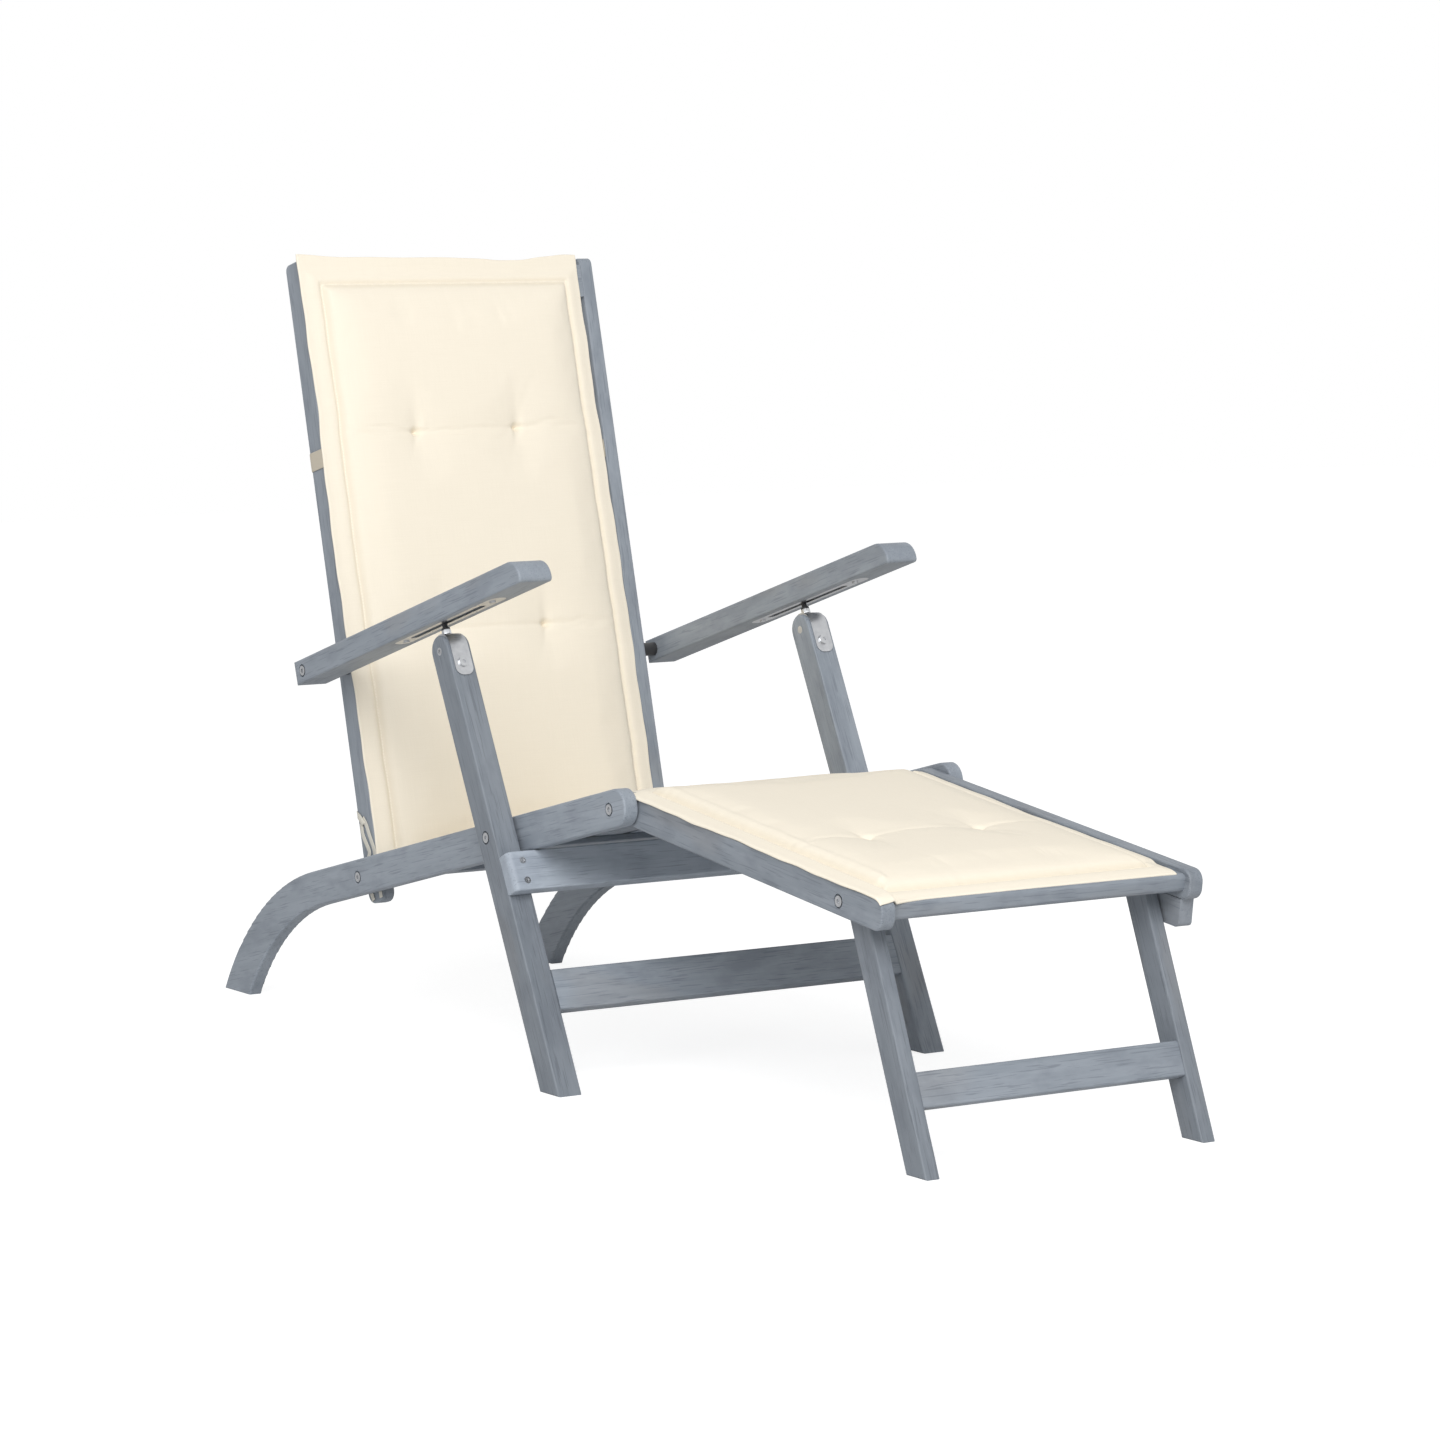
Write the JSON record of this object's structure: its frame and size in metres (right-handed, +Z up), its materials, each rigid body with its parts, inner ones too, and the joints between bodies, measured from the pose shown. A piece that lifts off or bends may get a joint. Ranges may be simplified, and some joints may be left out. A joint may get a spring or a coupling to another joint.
{
  "type": "folding chaise lounge",
  "caption": "Folding slatted wooden deck chaise with reclining back, slotted armrests, curved rear legs, fold-up footrest on its own legs, and a thin tufted cushion",
  "frame": {"origin": "Centre of the footprint on the floor, with the chair standing unfolded as pictured.", "axes": "+Z up, +Y from the back towards the end of the footrest, +X to the sitter's right."},
  "size_m": [0.594, 1.5812, 1.0067],
  "materials": {
    "greyed_wood": "grey-washed open-grained hardwood, matt",
    "stainless_steel": "plain stainless steel",
    "nylon": "black nylon",
    "cushion_cloth": "cream outdoor canvas over soft wadding",
    "tape": "tan woven tape",
    "tie_cloth": "narrow cream tie"
  },
  "bodies": {
    "base": {"side_rail_right": "greyed_wood", "side_rail_left": "greyed_wood", "seat_rear_bar": "greyed_wood", "seat_front_bar": "greyed_wood", "seat_batten": "greyed_wood", "seat_slats": "greyed_wood", "seat_slat_screws": "stainless_steel", "seat_cushion": "cushion_cloth", "back_pivot_bolts": "stainless_steel", "back_pivot_nuts": "stainless_steel", "back_pivot_washers": "nylon", "front_leg_pivot_bolts": "stainless_steel", "front_leg_pivot_nuts": "stainless_steel", "front_leg_washers": "nylon", "footrest_pivot_bolts": "stainless_steel", "footrest_pivot_nuts": "stainless_steel", "footrest_washers": "nylon"},
    "back": {"back_stile_right": "greyed_wood", "back_stile_left": "greyed_wood", "back_bottom_bar": "greyed_wood", "back_top_bar": "greyed_wood", "back_batten": "greyed_wood", "back_slats": "greyed_wood", "back_slat_screws": "stainless_steel", "back_cushion": "cushion_cloth", "cushion_band": "tape", "cushion_ties": "tie_cloth"},
    "armrest_pivots": {"armrest_pivot_bolts": "stainless_steel", "armrest_pivot_nuts": "stainless_steel", "armrest_spacers": "nylon"},
    "armrest_right": {"armrest_right": "greyed_wood", "slot_plate_right": "stainless_steel", "slot_plate_screws_right": "stainless_steel"},
    "armrest_left": {"armrest_left": "greyed_wood", "slot_plate_left": "stainless_steel", "slot_plate_screws_left": "stainless_steel"},
    "front_legs": {"front_leg_right": "greyed_wood", "front_leg_left": "greyed_wood", "front_apron": "greyed_wood", "apron_screws": "stainless_steel", "front_stretcher": "greyed_wood", "leg_bracket_right": "stainless_steel", "leg_bracket_left": "stainless_steel", "leg_bracket_screws": "stainless_steel", "leg_cross_dowels": "stainless_steel", "stop_studs": "stainless_steel"},
    "footrest": {"foot_rail_right": "greyed_wood", "foot_rail_left": "greyed_wood", "footrest_rear_bar": "greyed_wood", "footrest_front_bar": "greyed_wood", "footrest_slats": "greyed_wood", "footrest_slat_screws": "stainless_steel", "footrest_stop_block": "greyed_wood", "footrest_leg_pivot_bolts": "stainless_steel", "footrest_leg_pivot_nuts": "stainless_steel", "footrest_leg_washers": "nylon", "leg_cushion": "cushion_cloth"},
    "footrest_legs": {"foot_leg_right": "greyed_wood", "foot_leg_left": "greyed_wood", "footrest_stretcher": "greyed_wood"}
  },
  "joints": [
    {"name": "back_recline", "type": "hinge", "parent": "base", "child": "back", "pos_m": [0, -0.41722, 0.199], "axis": [1, 0, 0], "range_deg": [-6, 18]},
    {"name": "front_leg_fold", "type": "hinge", "parent": "base", "child": "front_legs", "pos_m": [0, -0.02618, 0.29853], "axis": [1, 0, 0], "range_deg": [-94, 0]},
    {"name": "footrest_fold", "type": "hinge", "parent": "base", "child": "footrest", "pos_m": [0, 0.19778, 0.35553], "axis": [1, 0, 0], "range_deg": [0, 110]},
    {"name": "footrest_leg_fold", "type": "hinge", "parent": "footrest", "child": "footrest_legs", "pos_m": [0, 0.64899, 0.29931], "axis": [1, 0, 0], "range_deg": [-115, 0]},
    {"name": "armrest_level", "type": "hinge", "parent": "back", "child": "armrest_pivots", "pos_m": [0, -0.48038, 0.46736], "axis": [1, 0, 0], "range_deg": [-18, 6]},
    {"name": "armrest_right_lift", "type": "hinge", "parent": "armrest_pivots", "child": "armrest_right", "pos_m": [0, -0.48038, 0.46736], "axis": [1, 0, 0], "range_deg": [0, 29]},
    {"name": "armrest_left_lift", "type": "hinge", "parent": "armrest_pivots", "child": "armrest_left", "pos_m": [0, -0.48038, 0.46736], "axis": [1, 0, 0], "range_deg": [0, 29]}
  ],
  "couplings": [
    {"joint": "armrest_level", "follows": "back_recline", "ratio": -0.96},
    {"joint": "armrest_right_lift", "follows": "front_leg_fold", "ratio": -0.3},
    {"joint": "armrest_left_lift", "follows": "front_leg_fold", "ratio": -0.3}
  ]
}
